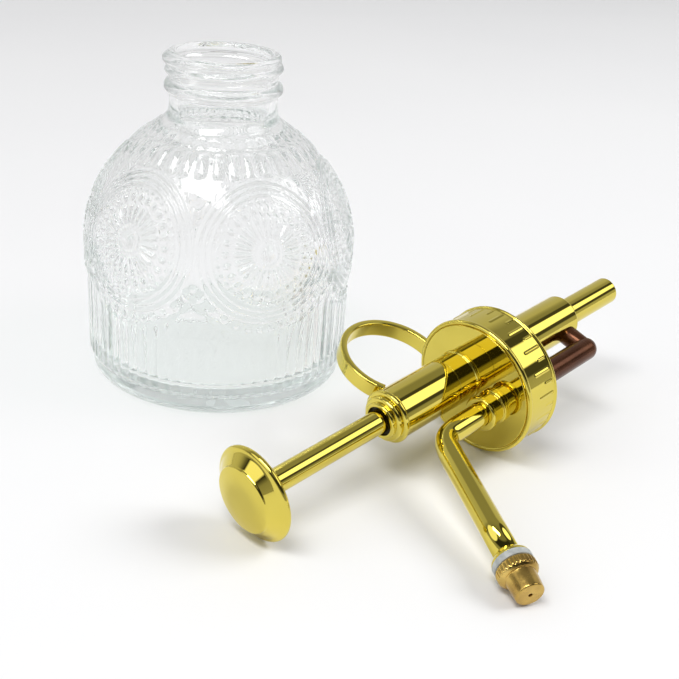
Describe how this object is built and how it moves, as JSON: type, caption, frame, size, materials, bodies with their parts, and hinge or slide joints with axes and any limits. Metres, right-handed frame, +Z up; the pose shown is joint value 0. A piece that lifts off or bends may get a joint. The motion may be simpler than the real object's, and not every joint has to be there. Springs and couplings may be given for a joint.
{
  "type": "plant mister",
  "caption": "Pressed-glass mister bottle with medallion relief, and its unscrewed one-hand brass pump sprayer lying beside it.",
  "frame": {"origin": "centre of the underside of the bottle's base", "axes": "+Z up the bottle's axis through its neck; +X from the bottle to the pump lying beside it; +Y away from the side it is seen from"},
  "size_m": [0.1656, 0.156, 0.0973],
  "materials": {
    "glass": "clear pressed glass",
    "gold": "polished gold plate",
    "satin_brass": "satin turned brass",
    "bronze": "dark brown bronze patina",
    "fibre": "matt grey fibre",
    "black_seal": "matt black",
    "steel": "drawn steel"
  },
  "bodies": {
    "bottle_body": {"bottle": "glass"},
    "pump": {"cap_shell": "gold", "cap_gasket": "fibre", "barrel_boss": "gold", "barrel_sleeve": "gold", "barrel_collar": "gold", "rod_bush": "black_seal", "finger_ring": "gold", "pump_cylinder": "gold", "inlet_tube": "gold", "inlet_seat": "satin_brass", "inlet_cage": "satin_brass", "transfer_pipe": "bronze", "transfer_elbow": "bronze", "outlet_seat": "satin_brass", "outlet_cage": "satin_brass", "spray_socket": "gold", "socket_ring": "gold", "spray_tube": "gold", "nozzle_seat": "gold", "nozzle_washer": "fibre", "return_spring": "steel"},
    "plunger": {"plunger_rod": "gold", "thumb_knob": "gold", "piston_head": "satin_brass", "piston_seal": "black_seal"},
    "nozzle": {"spray_nozzle": "satin_brass", "swirl_core": "satin_brass"},
    "inlet_valve": {"inlet_ball": "steel"},
    "outlet_valve": {"outlet_ball": "steel"}
  },
  "joints": [
    {"name": "pump_lift", "type": "slide", "parent": "bottle_body", "child": "pump", "axis": [0, 0, 1], "range_m": [0, 0.15]},
    {"name": "plunger_press", "type": "slide", "parent": "pump", "child": "plunger", "axis": [0.6899, 0.7144, 0.1167], "range_m": [0, 0.036], "stiffness_N_per_m": 150, "springref_m": -0.01, "deforming": ["return_spring"]},
    {"name": "nozzle_turn", "type": "hinge", "parent": "pump", "child": "nozzle", "pos_m": [0.06735, -0.06504, 0.01482], "axis": [0.3568, -0.9116, -0.2043], "range_deg": [0, 120]},
    {"name": "inlet_ball_lift", "type": "slide", "parent": "pump", "child": "inlet_valve", "axis": [-0.6899, -0.7144, -0.1167], "range_m": [-0.00125, 0]},
    {"name": "outlet_ball_lift", "type": "slide", "parent": "pump", "child": "outlet_valve", "axis": [-0.6899, -0.7144, -0.1167], "range_m": [-0.0014, 0]}
  ]
}
